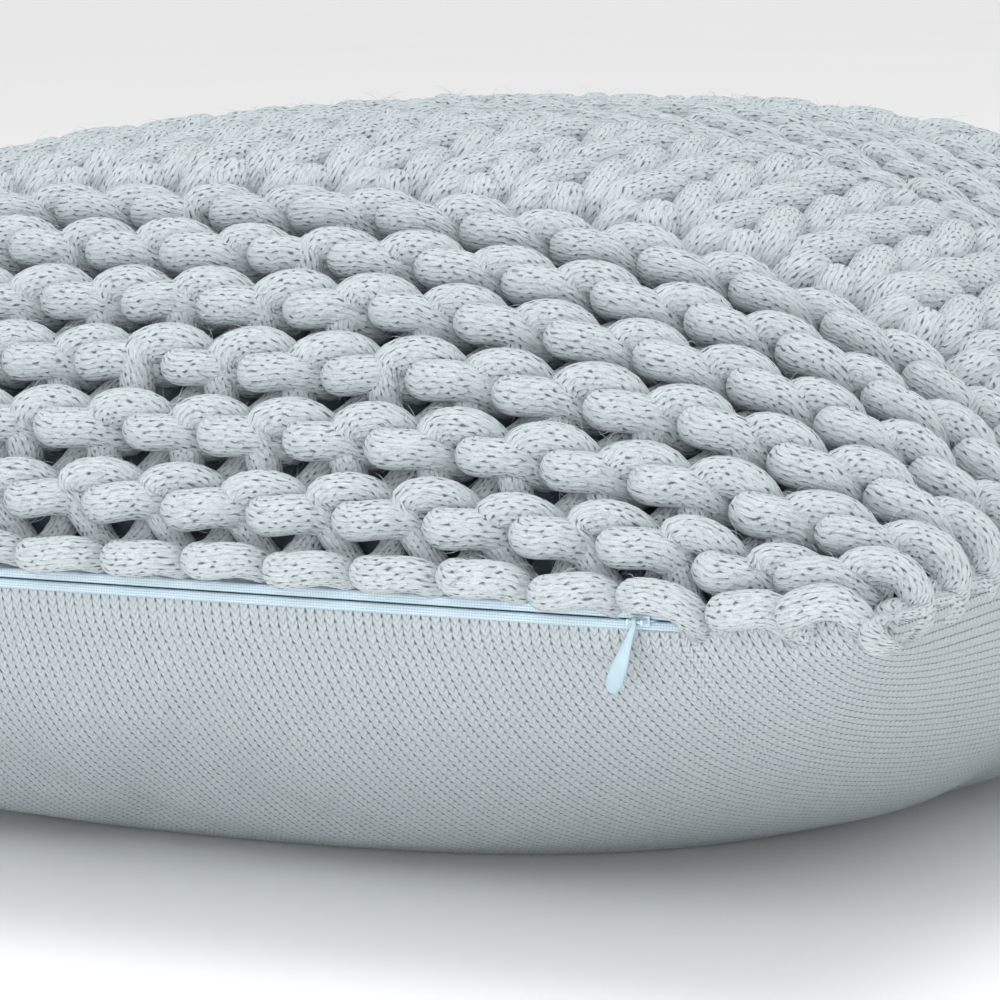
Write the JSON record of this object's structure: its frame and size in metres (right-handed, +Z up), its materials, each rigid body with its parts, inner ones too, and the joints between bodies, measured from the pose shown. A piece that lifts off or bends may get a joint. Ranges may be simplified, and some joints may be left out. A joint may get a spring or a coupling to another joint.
{
  "type": "throw pillow",
  "caption": "Square stuffed throw pillow with a chunky knitted front, a fine jersey back and a concealed zipper with a hanging pull tab.",
  "frame": {"origin": "on the floor under the middle of the pillow", "axes": "+Z up through the thickness, -Y towards the zipper side, +X towards the closed end of the zipper"},
  "size_m": [0.582, 0.582, 0.2145],
  "materials": {
    "knit_yarn": "matt chainette yarn",
    "lining": "plain woven lining",
    "jersey": "fine matt jersey",
    "seam_thread": "overlocked thread",
    "zipper_tape": "smooth knitted polyester tape",
    "zipper_coil": "nylon coil",
    "zipper_stop": "moulded plastic",
    "slider": "satin enamel",
    "pull": "glossy enamel",
    "label": "blank satin ribbon",
    "insert_casing": "fine cotton casing",
    "fibre": "loose polyester fibre"
  },
  "bodies": {
    "pillow": {"front_panel": "knit_yarn", "front_lining": "lining", "back_panel": "jersey", "cover_seam": "seam_thread", "zipper_tape_upper": "zipper_tape", "zipper_tape_lower": "zipper_tape", "zipper_coil_upper": "zipper_coil", "zipper_coil_lower": "zipper_coil", "zipper_top_stop": "zipper_stop", "zipper_bottom_stop": "zipper_stop", "care_label": "label", "insert_top": "insert_casing", "insert_bottom": "insert_casing", "insert_seam": "insert_casing", "fibre_fill": "fibre"},
    "slider": {"zipper_slider": "slider"},
    "pull": {"pull_tab": "pull"}
  },
  "joints": [
    {"name": "slider_travel", "type": "slide", "parent": "pillow", "child": "slider", "axis": [1, 0, 0], "range_m": [-0.416, 0]},
    {"name": "pull_swing", "type": "hinge", "parent": "slider", "child": "pull", "pos_m": [0.208, -0.2842, 0.096], "axis": [1, 0, 0], "range_deg": [-90, 0]}
  ]
}
